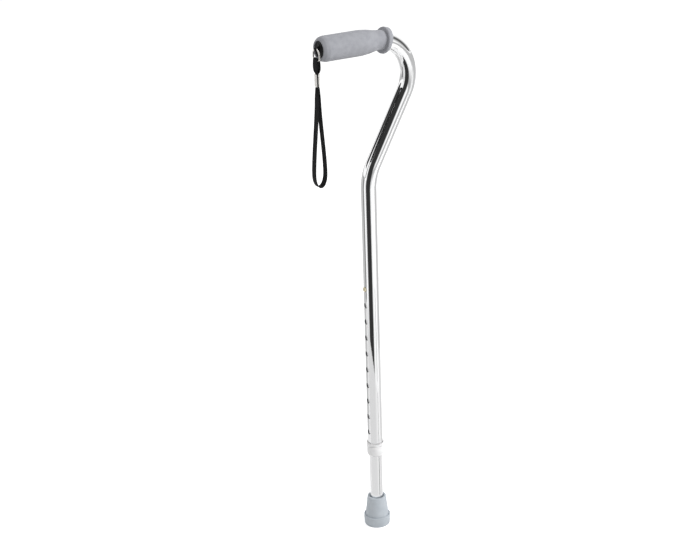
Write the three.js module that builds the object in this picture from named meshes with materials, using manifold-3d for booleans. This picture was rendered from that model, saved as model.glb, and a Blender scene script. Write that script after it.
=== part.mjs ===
// Single point walking cane with an offset neck, a telescopic leg and a wrist strap.
// Millimetres, +Z up. The origin is the centre of the rubber tip's sole, on the floor. The shaft
// stands on the Z axis, the neck leans out towards +X, and the grip points towards -X. The bends
// all lie in the plane y = 0.
import * as THREE from "three";
import { mergeVertices } from "three/addons/utils/BufferGeometryUtils.js";
import Module from "manifold-3d";

const wasm = await Module();
wasm.setup();

const GAP = 0.3; // clearance between pieces that touch
const ROUND_STEPS = 32; // sides of a full circle
const BEND_STEP = THREE.MathUtils.degToRad(7.5); // turn between two sections of a bend

// Upper tube: 7/8 inch aluminium, bent twice
const TUBE_R = 11.1;
const TUBE_WALL = 1.2;
const TUBE_FOOT_Z = 134.9;
const LOWER_BEND_Z = 534;
const LOWER_BEND_R = 73;
const LEAN = THREE.MathUtils.degToRad(29.7);
const LEAN_RUN = 106;
const UPPER_BEND_R = 54.2;
const GRIP_RISE = THREE.MathUtils.degToRad(2.4);
const GRIP_RUN = 86.8;

// Telescopic leg: 3/4 inch aluminium, with one hole per inch to set the height
const LEG_R = 9.525;
const LEG_WALL = 1.2;
const LEG_FOOT_Z = 9.6;
const LEG_TOP_Z = 412;
const HOLE_PITCH = 25.4;
const HOLE_COUNT = 10;
const HOLE_R = 3.7;
const TOP_HOLE_Z = 385.1;

// Snap button and its leaf spring
const BUTTON_R = 3.2;
const BUTTON_TIP_X = -13.4;
const BUTTON_FLANGE_R = 4.5;
const BUTTON_FLANGE_X = -6.6;
const BUTTON_BACK_X = -5.6;
const SPRING_WIDTH = 6;
const SPRING_THICK = 0.6;
const SPRING_LENGTH = 46;
const SPRING_BEND_R = 2.6;
const SPRING_BEND_X = 1.6;
const SPRING_WALL_X = 7.4; // the side that bears on the leg's far wall
const SPRING_ABOVE_HOLE = 6; // how far the arms reach past the button's axis

// Collar at the foot of the upper tube
const COLLAR_R = 12.5;
const BUSH_TOP_Z = 138.4;
const BUSH_SEAT_Z = 134.6;
const BUSH_SHOULDER_Z = 133.4;
const BUSH_FOOT_Z = 118.7;
const BUSH_THREAD_R = 11;
const SLIT_WIDTH = 1.2;
const SLIT_TOP_Z = 130;
const RING_FOOT_Z = 117;
const RING_LIP = 1.4;

// Rubber tip
const TIP_HEIGHT = 46.5;
const TIP_SOLE_R = 18.4;
const TIP_BAND_R = 19.4;
const TIP_BAND_Z = 15.5;
const TIP_NECK_R = 17.2;
const TIP_RIM_R = 13.9;
const TIP_BORE_Z = 7.8;
const WASHER_THICK = 1.2;

// Foam grip: distances run back along the tube from its free end
const GRIP_R = 17.5;
const GRIP_BORE_R = 11.6;
const GRIP_WAIST_R = 13.4;
const GRIP_END_R = 13.8;
const GRIP_OVERHANG = 3.6; // how far the foam reaches past the tube's free end
const GRIP_TAPER_START = 62;
const FLANGE_FRONT = 96.7;
const FLANGE_BACK = 103.1;
const FLANGE_R = 18.2;

// End cap and the hardware that hangs from it
const CAP_R = 11;
const CAP_THICK = 2.6;
const CAP_PLUG = 14;
const EYE_X = -76.8;
const EYE_Z = 748.7;
const EYE_R = 1.5;
const LUG_R = 3;
const LUG_THICK = 2.4;
const LUG_ROOT = 5.4;
const WIRE_R = 1.15;
const RING_HALF_WIDTH = 7.45;
const RING_CORNER_R = 3;
const RING_HEIGHT = 14.9;

// Wrist strap, measured down from the wire at the foot of the ring
const STRAP_WIDTH = 10;
const STRAP_THICK = 1.2;
const GATHERED_WIDTH = 4.2;
const GATHERED_THICK = 3.8;
const OPENED_WIDTH = 7.4; // just outside the crimp
const CRIMP_TOP = 18.8;
const CRIMP_HEIGHT = 18;
const CRIMP_WALL = 0.8;
const LOOP_DROP = 178.8;
const LOOP_HALF_WIDTH = 9.45;
const LOOP_SWAY = 1.8; // how far the hand loop's foot hangs towards -X

const finish = (color, roughness, metalness) =>
  new THREE.MeshStandardMaterial({ color, roughness, metalness });

const aluminium = finish(0xd9dadc, 0.15, 1);
const foam = finish(0xa5a7ac, 0.9, 0);
const blackRubber = finish(0x0f0f11, 0.5, 0);
const nickel = finish(0xd0cdc6, 0.2, 1);
const brass = finish(0xbeb8a2, 0.3, 1);
const springSteel = finish(0x8e9094, 0.35, 1);
const whiteNylon = finish(0xe4e2e3, 0.45, 0);
const greyRubber = finish(0xb2b7bd, 0.75, 0);
const webbing = finish(0x161617, 0.95, 0);

// --- Solids ---------------------------------------------------------------------------------

function toSolid(geometry) {
  const bare = geometry.index ? geometry.toNonIndexed() : geometry.clone();
  bare.deleteAttribute("normal");
  bare.deleteAttribute("uv");
  const merged = mergeVertices(bare, 1e-4);
  const vertProperties = new Float32Array(merged.attributes.position.array);
  const triVerts = new Uint32Array(merged.index.array);
  return new wasm.Manifold(new wasm.Mesh({ numProp: 3, vertProperties, triVerts }));
}

function toGeometry(solid) {
  const { vertProperties, triVerts } = solid.getMesh();
  const geometry = new THREE.BufferGeometry();
  geometry.setAttribute("position", new THREE.BufferAttribute(vertProperties, 3));
  geometry.setIndex(new THREE.BufferAttribute(triVerts, 1));
  geometry.computeVertexNormals();
  return geometry;
}

function named(name, geometry, material) {
  const mesh = new THREE.Mesh(geometry, material);
  mesh.name = name;
  return mesh;
}

const points2 = (pairs) => pairs.map(([a, b]) => new THREE.Vector2(a, b));

// A solid of revolution about Z. The outline holds [radius, z] and runs anticlockwise.
function turned(outline) {
  return new THREE.LatheGeometry(points2(outline), ROUND_STEPS).rotateX(Math.PI / 2);
}

// A closed outline in the plane y = 0, as thick as width, and centred on that plane.
function plate(shape, width) {
  return new THREE.ExtrudeGeometry(shape, { depth: width, bevelEnabled: false, curveSegments: 6 })
    .translate(0, 0, -width / 2)
    .rotateX(Math.PI / 2);
}

// A cylinder along X, from x = from to x = to.
function rodAlongX(radius, from, to, z, sides) {
  return new THREE.CylinderGeometry(radius, radius, to - from, sides)
    .rotateZ(Math.PI / 2)
    .translate((from + to) / 2, 0, z);
}

// --- Centreline of the upper tube -------------------------------------------------------------

const UPPER_TURN = Math.PI / 2 - GRIP_RISE + LEAN;
const RUNS = [
  { length: LOWER_BEND_Z - TUBE_FOOT_Z, turn: 0 },
  { length: LOWER_BEND_R * LEAN, turn: LEAN },
  { length: LEAN_RUN, turn: 0 },
  { length: UPPER_BEND_R * UPPER_TURN, turn: -UPPER_TURN },
  { length: GRIP_RUN, turn: 0 },
];
const TUBE_LENGTH = RUNS.reduce((sum, run) => sum + run.length, 0);

// The point and the direction at a distance along the tube. The heading is the angle from +Z
// towards +X.
function centreline(distance) {
  let x = 0;
  let z = TUBE_FOOT_Z;
  let heading = 0;
  let left = distance;
  RUNS.forEach((run, i) => {
    const step = i === RUNS.length - 1 ? left : Math.min(left, run.length);
    const turn = (run.turn * step) / run.length;
    const bend = run.turn / run.length;
    if (turn) {
      x += (Math.cos(heading) - Math.cos(heading + turn)) / bend;
      z += (Math.sin(heading + turn) - Math.sin(heading)) / bend;
    } else {
      x += step * Math.sin(heading);
      z += step * Math.cos(heading);
    }
    heading += turn;
    left -= step;
  });
  return {
    point: new THREE.Vector3(x, 0, z),
    tangent: new THREE.Vector3(Math.sin(heading), 0, Math.cos(heading)),
    side: new THREE.Vector3(Math.cos(heading), 0, -Math.sin(heading)),
  };
}

// Where the tube's sections are: both ends of each straight, and even steps round each bend.
function sectionDistances() {
  const distances = [0];
  let start = 0;
  for (const run of RUNS) {
    const steps = Math.max(1, Math.round(Math.abs(run.turn) / BEND_STEP));
    for (let i = 1; i <= steps; i++) distances.push(start + (run.length * i) / steps);
    start += run.length;
  }
  return distances;
}

class SectionedPath extends THREE.Curve {
  constructor(distances) {
    super();
    this.sections = distances.map(centreline);
  }
  section(u) {
    return this.sections[Math.round(u * (this.sections.length - 1))];
  }
  getPoint(u) {
    return this.section(u).point.clone();
  }
  getPointAt(u) {
    return this.getPoint(u);
  }
  getTangentAt(u) {
    return this.section(u).tangent.clone();
  }
}

// A turned piece threaded on the tube. The outline holds [radius, distance back from the free end],
// and runs anticlockwise.
function turnedOnTube(outline) {
  const rows = outline.map(([radius, back]) => [radius, TUBE_LENGTH - back]).reverse();
  const geometry = new THREE.LatheGeometry(points2(rows), ROUND_STEPS);
  const position = geometry.attributes.position;
  for (let i = 0; i < position.count; i++) {
    const { point, side } = centreline(position.getY(i));
    point.addScaledVector(side, position.getX(i));
    position.setXYZ(i, point.x, -position.getZ(i), point.z);
  }
  return geometry;
}

// --- Handle -----------------------------------------------------------------------------------

function upperTube() {
  const section = new THREE.Shape().absarc(0, 0, TUBE_R, 0, 2 * Math.PI);
  section.holes.push(new THREE.Path().absarc(0, 0, TUBE_R - TUBE_WALL, 0, 2 * Math.PI));
  const distances = sectionDistances();
  const swept = new THREE.ExtrudeGeometry(section, {
    steps: distances.length - 1,
    curveSegments: ROUND_STEPS / 2,
    extrudePath: new SectionedPath(distances),
  });
  let tube = toSolid(swept);
  for (let i = 0; i < HOLE_COUNT; i++) {
    const hole = rodAlongX(HOLE_R, -2 * TUBE_R, -TUBE_R / 2, TOP_HOLE_Z - i * HOLE_PITCH, 16);
    tube = tube.subtract(toSolid(hole));
  }
  return toGeometry(tube);
}

// Foam sleeve with a hand stop moulded at its inner end. It follows the tube into the bend.
function foamGrip() {
  const bore = [FLANGE_BACK, 98, 92, GRIP_RUN, 0.6 - GRIP_OVERHANG].map((back) => [GRIP_BORE_R, back]);
  return turnedOnTube([
    ...bore,
    [GRIP_BORE_R + 0.6, -GRIP_OVERHANG],
    [GRIP_END_R, 0.2 - GRIP_OVERHANG],
    [15.2, 1.4 - GRIP_OVERHANG],
    [16.6, 1.6],
    [GRIP_R, 5.5],
    [GRIP_R, 34],
    [GRIP_R, GRIP_TAPER_START],
    [16.2, 74],
    [14.3, 84],
    [GRIP_WAIST_R, 93],
    [GRIP_WAIST_R, FLANGE_FRONT],
    [FLANGE_R - 1.2, FLANGE_FRONT],
    [FLANGE_R, FLANGE_FRONT + 1.4],
    [FLANGE_R, FLANGE_BACK - 1.4],
    [FLANGE_R - 1.2, FLANGE_BACK],
    bore[0],
  ]);
}

// Moulded cap: a plug in the tube's bore, a head over the tube's end, and a lug with an eye.
function gripEndCap() {
  const plugR = TUBE_R - TUBE_WALL - GAP;
  const head = turnedOnTube([
    [0, -GAP - CAP_THICK],
    [CAP_R - 1, -GAP - CAP_THICK],
    [CAP_R, 0.7 - CAP_THICK],
    [CAP_R, -GAP],
    [plugR, -GAP],
    [plugR, CAP_PLUG - 1.2],
    [plugR - 0.8, CAP_PLUG],
    [0, CAP_PLUG],
  ]);
  const lug = new THREE.Shape()
    .moveTo(EYE_X + LUG_ROOT, EYE_Z + LUG_R + 0.6)
    .lineTo(EYE_X, EYE_Z + LUG_R)
    .absarc(EYE_X, EYE_Z, LUG_R, Math.PI / 2, 1.5 * Math.PI)
    .lineTo(EYE_X + LUG_ROOT, EYE_Z - LUG_R - 0.6);
  lug.holes.push(new THREE.Path().absarc(EYE_X, EYE_Z, EYE_R, 0, 2 * Math.PI));
  return toGeometry(toSolid(head).add(toSolid(plate(lug, LUG_THICK))));
}

// --- Collar -----------------------------------------------------------------------------------

// Nylon bush: a socket over the tube's foot, and slit fingers that close on the leg.
function collarBush() {
  const boreR = LEG_R + GAP + 0.05;
  const body = turned([
    [boreR, BUSH_FOOT_Z],
    [BUSH_THREAD_R - 0.5, BUSH_FOOT_Z],
    [BUSH_THREAD_R, BUSH_FOOT_Z + 1],
    [BUSH_THREAD_R, BUSH_SHOULDER_Z],
    [COLLAR_R, BUSH_SHOULDER_Z],
    [COLLAR_R, BUSH_TOP_Z - 0.5],
    [COLLAR_R - 0.5, BUSH_TOP_Z],
    [TUBE_R + GAP, BUSH_TOP_Z],
    [TUBE_R + GAP, BUSH_SEAT_Z],
    [boreR, BUSH_SEAT_Z],
    [boreR, BUSH_FOOT_Z],
  ]);
  let bush = toSolid(body);
  const slitHeight = SLIT_TOP_Z - BUSH_FOOT_Z + 1;
  for (const turn of [0, Math.PI / 2]) {
    const slit = new THREE.BoxGeometry(3 * COLLAR_R, SLIT_WIDTH, slitHeight)
      .translate(0, 0, SLIT_TOP_Z - slitHeight / 2)
      .rotateZ(turn);
    bush = bush.subtract(toSolid(slit));
  }
  return toGeometry(bush);
}

// Nut on the bush's thread. Its lip is under the fingers.
function lockRing() {
  const topZ = BUSH_SHOULDER_Z - 0.4;
  const boreR = BUSH_THREAD_R + GAP;
  return turned([
    [LEG_R + 0.7, RING_FOOT_Z],
    [COLLAR_R - 1.4, RING_FOOT_Z],
    [COLLAR_R - 0.4, RING_FOOT_Z + 1.6],
    [COLLAR_R, RING_FOOT_Z + 4],
    [COLLAR_R, topZ - 0.4],
    [COLLAR_R - 0.4, topZ],
    [boreR, topZ],
    [boreR, RING_FOOT_Z + RING_LIP],
    [LEG_R + 0.7, RING_FOOT_Z + RING_LIP],
    [LEG_R + 0.7, RING_FOOT_Z],
  ]);
}

// --- Leg --------------------------------------------------------------------------------------

function lowerTube() {
  const boreR = LEG_R - LEG_WALL;
  const tube = turned([
    [boreR, LEG_FOOT_Z],
    [LEG_R, LEG_FOOT_Z],
    [LEG_R, LEG_TOP_Z],
    [boreR, LEG_TOP_Z],
    [boreR, LEG_FOOT_Z],
  ]);
  const hole = rodAlongX(BUTTON_R + GAP, -2 * LEG_R, -LEG_R / 2, TOP_HOLE_Z, 16);
  return toGeometry(toSolid(tube).subtract(toSolid(hole)));
}

function snapButton() {
  return turned([
    [0, BUTTON_BACK_X],
    [0, BUTTON_TIP_X],
    [1.7, BUTTON_TIP_X + 0.35],
    [2.8, BUTTON_TIP_X + 1.2],
    [BUTTON_R, BUTTON_TIP_X + 2.4],
    [BUTTON_R, BUTTON_FLANGE_X],
    [BUTTON_FLANGE_R, BUTTON_FLANGE_X],
    [BUTTON_FLANGE_R, BUTTON_BACK_X],
    [0, BUTTON_BACK_X],
  ])
    .rotateY(Math.PI / 2)
    .translate(0, 0, TOP_HOLE_Z);
}

// Hairpin of spring steel. One arm backs the button, and the other bears on the leg's far wall.
function buttonSpring() {
  const topZ = TOP_HOLE_Z + SPRING_ABOVE_HOLE;
  const footZ = topZ - SPRING_LENGTH;
  const buttonArmX = BUTTON_BACK_X + GAP;
  const insideR = SPRING_BEND_R - SPRING_THICK;
  const leaf = new THREE.Shape()
    .moveTo(buttonArmX, topZ)
    .lineTo(SPRING_BEND_X - SPRING_BEND_R, footZ)
    .absarc(SPRING_BEND_X, footZ, SPRING_BEND_R, Math.PI, 2 * Math.PI)
    .lineTo(SPRING_WALL_X, topZ)
    .lineTo(SPRING_WALL_X - SPRING_THICK, topZ)
    .lineTo(SPRING_BEND_X + insideR, footZ)
    .absarc(SPRING_BEND_X, footZ, insideR, 0, -Math.PI, true)
    .lineTo(buttonArmX + SPRING_THICK, topZ);
  return plate(leaf, SPRING_WIDTH);
}

function rubberTip() {
  const boreR = LEG_R + GAP + 0.05;
  return turned([
    [0, 0],
    [TIP_SOLE_R, 0],
    [TIP_SOLE_R + 0.5, 1.2],
    [TIP_BAND_R, TIP_BAND_Z - 1.2],
    [TIP_BAND_R - 0.8, TIP_BAND_Z],
    [TIP_NECK_R + 0.5, TIP_BAND_Z + 0.6],
    [TIP_NECK_R, TIP_BAND_Z + 2],
    [TIP_RIM_R, TIP_HEIGHT - 2],
    [TIP_RIM_R - 0.7, TIP_HEIGHT - 0.4],
    [TIP_RIM_R - 1.8, TIP_HEIGHT],
    [boreR, TIP_HEIGHT],
    [boreR, TIP_BORE_Z],
    [0, TIP_BORE_Z],
    [0, 0],
  ]);
}

function tipWasher() {
  const footZ = TIP_BORE_Z + GAP;
  return turned([
    [0, footZ],
    [LEG_R, footZ],
    [LEG_R, footZ + WASHER_THICK],
    [0, footZ + WASHER_THICK],
    [0, footZ],
  ]);
}

// --- Wrist strap ------------------------------------------------------------------------------

const WIRE_Z = EYE_Z - RING_HEIGHT; // the straight bar at the foot of the ring

// D shaped wire ring in the plane x = EYE_X: an arch in the cap's eye, and a bar for the webbing.
function strapRing() {
  const half = RING_HALF_WIDTH;
  const outline = new THREE.Path()
    .moveTo(0, 0)
    .lineTo(half - RING_CORNER_R, 0)
    .absarc(half - RING_CORNER_R, RING_CORNER_R, RING_CORNER_R, -Math.PI / 2, 0)
    .lineTo(half, RING_HEIGHT - half)
    .absarc(0, RING_HEIGHT - half, half, 0, Math.PI)
    .lineTo(-half, RING_CORNER_R)
    .absarc(RING_CORNER_R - half, RING_CORNER_R, RING_CORNER_R, Math.PI, 1.5 * Math.PI)
    .lineTo(0, 0);
  const loop = outline.getSpacedPoints(36).slice(0, -1);
  const bar = loop.map((p) => new THREE.Vector3(EYE_X, p.x, WIRE_Z + p.y));
  return new THREE.TubeGeometry(new THREE.CatmullRomCurve3(bar, true), 36, WIRE_R, 8, true);
}

// The strap's outlines are drawn as their right halves, from the foot up, in distances from the
// wire. They are mirrored about x = 0, and then the hand loop sways towards -X.
function mirroredOutline(rightHalf) {
  const right = rightHalf.getPoints(8);
  const left = right.map((p) => new THREE.Vector2(-p.x, p.y)).reverse();
  const crimpFoot = -CRIMP_TOP - CRIMP_HEIGHT;
  return [...right, ...left].map((p) => {
    const sway = (LOOP_SWAY * Math.max(0, crimpFoot - p.y)) / (LOOP_DROP + crimpFoot);
    return new THREE.Vector2(EYE_X + p.x - sway, WIRE_Z + p.y);
  });
}

function wristStrap() {
  const small = WIRE_R + 0.35;
  const crimpFoot = -CRIMP_TOP - CRIMP_HEIGHT;
  const wide = LOOP_HALF_WIDTH;
  const inner = wide - STRAP_THICK;
  const outside = new THREE.Path()
    .moveTo(0, -LOOP_DROP)
    .bezierCurveTo(wide * 0.55, -LOOP_DROP, wide, -LOOP_DROP + 7, wide, -LOOP_DROP + 19)
    .bezierCurveTo(wide, -130, 2.1, -82, GATHERED_THICK / 2, crimpFoot)
    .lineTo(GATHERED_THICK / 2, -CRIMP_TOP)
    .bezierCurveTo(3.7, -14.8, 3.75, -8, small + STRAP_THICK, 0)
    .absarc(0, 0, small + STRAP_THICK, 0, Math.PI / 2);
  const handHole = new THREE.Path()
    .moveTo(0, -LOOP_DROP + STRAP_THICK)
    .bezierCurveTo(inner * 0.55, -LOOP_DROP + STRAP_THICK, inner, -LOOP_DROP + 8.2, inner, -LOOP_DROP + 19)
    .bezierCurveTo(inner, -130, 0.7, -85, 0, crimpFoot - 5);
  const ringHole = new THREE.Path()
    .moveTo(0, -CRIMP_TOP + 2)
    .bezierCurveTo(2.3, -14, 2.6, -8, small, 0)
    .absarc(0, 0, small, 0, Math.PI / 2);
  const front = new THREE.Shape(mirroredOutline(outside));
  front.holes = [handHole, ringHole].map((half) => new THREE.Path(mirroredOutline(half)));

  // Seen from the side, the webbing is gathered in the crimp, opens outside it and is flat beyond.
  const flat = STRAP_WIDTH / 2;
  const thin = GATHERED_WIDTH / 2;
  const gather = new THREE.Shape(
    points2([
      [-flat, -LOOP_DROP - 1],
      [flat, -LOOP_DROP - 1],
      [flat, crimpFoot - 18],
      [OPENED_WIDTH / 2, crimpFoot - 1.6],
      [thin, crimpFoot],
      [thin, -CRIMP_TOP],
      [OPENED_WIDTH / 2, -CRIMP_TOP + 1.6],
      [flat, -CRIMP_TOP + 7],
      [flat, 4],
      [-flat, 4],
      [-flat, -CRIMP_TOP + 7],
      [-OPENED_WIDTH / 2, -CRIMP_TOP + 1.6],
      [-thin, -CRIMP_TOP],
      [-thin, crimpFoot],
      [-OPENED_WIDTH / 2, crimpFoot - 1.6],
      [-flat, crimpFoot - 18],
    ]),
  );
  const envelope = plate(gather, 4 * wide)
    .rotateZ(Math.PI / 2)
    .translate(EYE_X, 0, WIRE_Z);
  return toGeometry(toSolid(plate(front, STRAP_WIDTH)).intersect(toSolid(envelope)));
}

// Sheet metal folded round the gathered webbing, open along the edge beside its outer plate.
function strapCrimp() {
  const inX = GATHERED_THICK / 2 + GAP;
  const inY = GATHERED_WIDTH / 2 + GAP;
  const outX = inX + CRIMP_WALL;
  const outY = inY + CRIMP_WALL;
  const fold = new THREE.Shape(
    points2([
      [-outX, -outY],
      [-inX, -outY],
      [-inX, inY],
      [inX, inY],
      [inX, -inY],
      [0, -inY],
      [0, -outY],
      [outX, -outY],
      [outX, outY],
      [-outX, outY],
    ]),
  );
  const height = CRIMP_HEIGHT - 2 * GAP;
  return new THREE.ExtrudeGeometry(fold, { depth: height, bevelEnabled: false })
    .translate(EYE_X, 0, WIRE_Z - CRIMP_TOP - GAP - height);
}

// --- Assembly ---------------------------------------------------------------------------------

const leg = new THREE.Group();
leg.add(
  named("lower_tube", lowerTube(), aluminium),
  named("rubber_tip", rubberTip(), greyRubber),
  named("tip_washer", tipWasher(), springSteel),
  named("snap_button", snapButton(), brass),
  named("button_spring", buttonSpring(), springSteel),
);

const collar = new THREE.Group();
collar.add(
  named("collar_bush", collarBush(), whiteNylon),
  named("lock_ring", lockRing(), whiteNylon),
);

const strap = new THREE.Group();
strap.add(
  named("strap_ring", strapRing(), nickel),
  named("wrist_strap", wristStrap(), webbing),
  named("strap_crimp", strapCrimp(), nickel),
);

const handle = new THREE.Group();
handle.add(
  named("upper_tube", upperTube(), aluminium),
  named("foam_grip", foamGrip(), foam),
  named("grip_end_cap", gripEndCap(), blackRubber),
  collar,
  strap,
);

const cane = new THREE.Group();
cane.add(leg, handle);

export default cane;
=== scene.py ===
import math

import bmesh
import bpy
from mathutils import Matrix, Vector


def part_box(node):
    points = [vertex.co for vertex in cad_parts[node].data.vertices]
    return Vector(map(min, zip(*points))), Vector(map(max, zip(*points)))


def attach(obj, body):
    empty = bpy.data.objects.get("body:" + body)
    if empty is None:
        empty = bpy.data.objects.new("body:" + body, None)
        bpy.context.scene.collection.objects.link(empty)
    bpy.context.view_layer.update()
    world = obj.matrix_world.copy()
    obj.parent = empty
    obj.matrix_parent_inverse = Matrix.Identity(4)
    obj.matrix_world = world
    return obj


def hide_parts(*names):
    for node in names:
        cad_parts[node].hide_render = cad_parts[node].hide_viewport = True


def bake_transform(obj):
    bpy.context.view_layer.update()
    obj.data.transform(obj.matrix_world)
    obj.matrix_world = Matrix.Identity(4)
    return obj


# Looks of the single point walking cane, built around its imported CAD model.
# Metres, +Z up, in the CAD's frame: the origin is the centre of the rubber tip's sole, the neck
# leans towards +X, the grip points towards -X, and all the bends lie in the plane y = 0.

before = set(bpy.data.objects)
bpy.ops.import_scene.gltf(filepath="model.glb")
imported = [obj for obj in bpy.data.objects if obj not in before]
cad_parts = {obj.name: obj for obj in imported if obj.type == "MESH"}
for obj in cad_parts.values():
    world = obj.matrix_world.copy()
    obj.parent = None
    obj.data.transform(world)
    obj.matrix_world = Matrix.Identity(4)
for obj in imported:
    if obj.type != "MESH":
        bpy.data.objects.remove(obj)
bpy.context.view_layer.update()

TURN = 2 * math.pi
X_AXIS = Vector((1, 0, 0))
Y_AXIS = Vector((0, 1, 0))
SIDES = 96  # sides of a full circle
SHARP_EDGE = math.radians(38)  # faces that meet at more than this are not shaded as one
CLEARANCE = 0.0003  # between pieces that fit into each other


def half_width(node):
    """The radius of an upright round node."""
    low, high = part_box(node)
    return (high.y - low.y) / 2


# --- Camera -------------------------------------------------------------------------------------

CAMERA_TARGET = Vector((-0.0353, 0, 0.4061))
CAMERA_DISTANCE = 2.4939
CAMERA_AZIMUTH = math.radians(-32.59)
CAMERA_ELEVATION = math.radians(23.71)
CAMERA_ROLL = math.radians(-1.808)
CAMERA_LENS = 91.455  # millimetres
CAMERA_SENSOR = 36


def link(obj):
    bpy.context.scene.collection.objects.link(obj)
    return obj


def add_camera():
    camera = link(bpy.data.objects.new("camera", bpy.data.cameras.new("camera")))
    camera.data.sensor_width = CAMERA_SENSOR
    camera.data.lens = CAMERA_LENS
    turn = (
        Matrix.Rotation(CAMERA_AZIMUTH, 4, "Z")
        @ Matrix.Rotation(math.pi / 2 - CAMERA_ELEVATION, 4, "X")
        @ Matrix.Rotation(CAMERA_ROLL, 4, "Z")
    )
    back = turn.to_3x3() @ Vector((0, 0, 1))
    camera.matrix_world = Matrix.Translation(CAMERA_TARGET + back * CAMERA_DISTANCE) @ turn
    bpy.context.scene.camera = camera


# --- Mesh building ------------------------------------------------------------------------------


def to_object(name, mesh_in_progress):
    """Shades a closed mesh smooth, apart from its sharp edges, and makes it an object."""
    bmesh.ops.recalc_face_normals(mesh_in_progress, faces=mesh_in_progress.faces)
    for face in mesh_in_progress.faces:
        face.smooth = True
    for edge in mesh_in_progress.edges:
        edge.smooth = len(edge.link_faces) != 2 or edge.calc_face_angle() < SHARP_EDGE
    mesh = bpy.data.meshes.new(name)
    mesh_in_progress.to_mesh(mesh)
    mesh_in_progress.free()
    return link(bpy.data.objects.new(name, mesh))


def rounded(corners, steps=5):
    """A closed outline from corners (a, b, radius): each corner is rounded to its radius."""
    outline = []
    for i, (a, b, radius) in enumerate(corners):
        corner = Vector((a, b))
        if not radius:
            outline.append(corner)
            continue
        back = (Vector(corners[i - 1][:2]) - corner).normalized()
        ahead = (Vector(corners[(i + 1) % len(corners)][:2]) - corner).normalized()
        half = back.angle(ahead) / 2
        reach = radius / math.tan(half)
        centre = corner + (back + ahead).normalized() * (radius / math.sin(half))
        start = (corner + back * reach - centre).normalized()
        end = (corner + ahead * reach - centre).normalized()
        outline += [centre + start.slerp(end, k / steps) * radius for k in range(steps + 1)]
    return outline


def bridge(bm, ring, following):
    """Faces between two closed rings of vertices. Either ring may be one repeated vertex."""
    count = len(ring)
    for k in range(count):
        after = (k + 1) % count
        corners = dict.fromkeys((ring[k], ring[after], following[after], following[k]))
        if len(corners) > 2:
            bm.faces.new(list(corners))


def upright(radius, height, angle):
    """A point round the Z axis. Angle 0 is the -X side."""
    return Vector((-radius * math.cos(angle), radius * math.sin(angle), height))


def circle(bm, place, radius, along, sides=SIDES):
    """A ring of vertices, or one repeated vertex where the ring has no radius."""
    if radius < 1e-7:
        return [bm.verts.new(place(0, along, 0))] * sides
    return [bm.verts.new(place(radius, along, TURN * k / sides)) for k in range(sides)]


def turned(name, corners, place=upright, sides=SIDES, steps=5):
    """A solid of revolution. Its corners are (radius, distance along the axis, rounding)."""
    bm = bmesh.new()
    rings = [circle(bm, place, a, b, sides) for a, b in rounded(corners, steps)]
    for ring, following in zip(rings, rings[1:] + rings[:1]):
        bridge(bm, ring, following)
    return to_object(name, bm)


def swept(name, path, across, section, closed=False):
    """A section swept along a flat path. section(i) lists the points (u, v) at the path's point i:
    u runs along across, the normal of the path's plane, and v runs in the plane."""
    bm = bmesh.new()
    rings = []
    last = len(path) - 1
    for i, point in enumerate(path):
        before = path[i - 1] if i or closed else point
        after = path[(i + 1) % len(path)] if i < last or closed else point
        normal = across.cross((after - before).normalized())
        rings.append([bm.verts.new(point + across * u + normal * v) for u, v in section(i)])
    for ring, following in zip(rings, rings[1:]):
        bridge(bm, ring, following)
    if closed:
        bridge(bm, rings[-1], rings[0])
    else:
        bm.faces.new(rings[0])
        bm.faces.new(rings[-1])
    return to_object(name, bm)


def arc(centre, radius, start, end, steps):
    """Points on a circle in the plane y = 0. Angles run from +X towards +Z."""
    angles = [start + (end - start) * k / steps for k in range(steps + 1)]
    return [centre + Vector((math.cos(a), 0, math.sin(a))) * radius for a in angles]


def bezier(start, control_a, control_b, end, steps):
    """Points on a cubic curve, without its first point."""
    points = []
    for k in range(1, steps + 1):
        t = k / steps
        s = 1 - t
        points.append(
            start * s**3 + control_a * 3 * s * s * t + control_b * 3 * s * t * t + end * t**3
        )
    return points


def combined(base, other, operation):
    """Base with the other solid joined to it or cut out of it. The other object goes."""
    modifier = base.modifiers.new("combine", "BOOLEAN")
    modifier.operation = operation
    modifier.object = other
    modifier.solver = "EXACT"
    result = base.evaluated_get(bpy.context.evaluated_depsgraph_get())
    mesh = bpy.data.meshes.new_from_object(result)
    base.modifiers.clear()
    base.data = mesh
    bpy.data.objects.remove(other)
    return base


# --- Wrist strap --------------------------------------------------------------------------------

# The strap hangs in the plane y = 0, looped over the ring's lowest bar. Its route is the middle of
# the webbing, in distances from that bar. Both sides mirror each other, apart from the hand
# loop's sway.
RING_WIRE_R = 0.00115
RING_BAR = Vector((-0.0768, 0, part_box("strap_ring")[0].z + RING_WIRE_R))
STRAP_WIDTH = 0.010
STRAP_THICK = 0.0012
GATHERED_WIDTH = 0.0042
GATHERED_THICK = 0.0019
CRIMP_TOP = 0.0188
CRIMP_FOOT = 0.0368
LOOP_DROP = 0.1782
LOOP_HALF_WIDTH = 0.00885
LOOP_SWAY = 0.0018  # how far the hand loop's foot hangs towards -X
BAR_LOOP_R = 0.0021
OPENING = 0.0020  # distance from the crimp in which the pleats spring open
FLAT_BELOW = 0.018  # distance from the crimp at which the hand loop is flat
FLAT_ABOVE = 0.007
SPRUNG_SHARE = 0.55  # of the gathering, what opens at once as the webbing leaves the crimp
PLEATS = 3
PLEAT_DEPTH = 0.0003
MIDDLE_DIP = 0.12  # how deep each face dips between its edges, as a share of the thickness


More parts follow.
